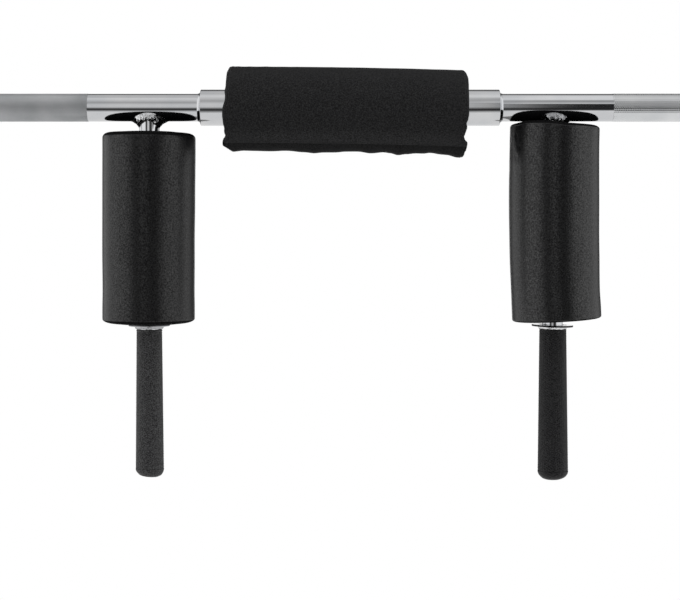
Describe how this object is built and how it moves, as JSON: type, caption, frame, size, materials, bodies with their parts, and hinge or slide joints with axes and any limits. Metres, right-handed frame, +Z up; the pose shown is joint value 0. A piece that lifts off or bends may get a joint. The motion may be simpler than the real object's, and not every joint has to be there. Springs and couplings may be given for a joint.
{
  "type": "squat bar",
  "caption": "Squat bar for weight plates, with a padded neck rest and arms that hang down to hand grips through foam shoulder rollers.",
  "frame": {"origin": "on the bar's axis at mid length", "axes": "+X along the bar to the right as seen from the lifter's front, +Y to the back, +Z up with the arms hanging down"},
  "size_m": [2.184, 0.1, 0.448],
  "materials": {
    "chrome": "polished chrome plate on steel",
    "steel": "plain spring steel",
    "bronze": "sintered bearing bronze",
    "foam": "black closed-cell foam with a fine pebbled skin",
    "rubber": "black rubber with a fine cross-hatch",
    "cloth": "matt black woven cloth",
    "closure_tape": "black hook and loop tape",
    "plastic": "black moulded plastic"
  },
  "bodies": {
    "bar": {"shaft": "chrome", "centre_sleeve": "chrome", "left_arm_rod": "chrome", "left_pad_stop": "chrome", "left_grip": "rubber", "left_thrust_washer": "bronze", "left_retaining_washer": "steel", "left_snap_ring": "steel", "right_arm_rod": "chrome", "right_pad_stop": "chrome", "right_grip": "rubber", "right_thrust_washer": "bronze", "right_retaining_washer": "steel", "right_snap_ring": "steel"},
    "left_loading_sleeve": {"left_sleeve_tube": "chrome", "left_collar": "chrome", "left_inner_bushing": "bronze", "left_outer_bushing": "bronze", "left_end_cap": "plastic"},
    "right_loading_sleeve": {"right_sleeve_tube": "chrome", "right_collar": "chrome", "right_inner_bushing": "bronze", "right_outer_bushing": "bronze", "right_end_cap": "plastic"},
    "left_roller": {"left_roller_pad": "foam", "left_pad_liner": "plastic"},
    "right_roller": {"right_roller_pad": "foam", "right_pad_liner": "plastic"},
    "neck_pad": {"neck_foam": "foam", "neck_cover": "cloth", "hook_strip": "closure_tape", "loop_strip": "closure_tape"}
  },
  "joints": [
    {"name": "left_sleeve_spin", "type": "hinge", "parent": "bar", "child": "left_loading_sleeve", "pos_m": [-0.87, 0, 0], "axis": [1, 0, 0], "continuous": true},
    {"name": "right_sleeve_spin", "type": "hinge", "parent": "bar", "child": "right_loading_sleeve", "pos_m": [0.87, 0, 0], "axis": [1, 0, 0], "continuous": true},
    {"name": "left_roller_spin", "type": "hinge", "parent": "bar", "child": "left_roller", "pos_m": [-0.219, 0, -0.1314], "axis": [0, 0, 1], "continuous": true},
    {"name": "right_roller_spin", "type": "hinge", "parent": "bar", "child": "right_roller", "pos_m": [0.219, 0, -0.125], "axis": [0, 0, 1], "continuous": true},
    {"name": "neck_pad_turn", "type": "hinge", "parent": "bar", "child": "neck_pad", "pos_m": [0, 0, 0], "axis": [1, 0, 0], "continuous": true}
  ]
}
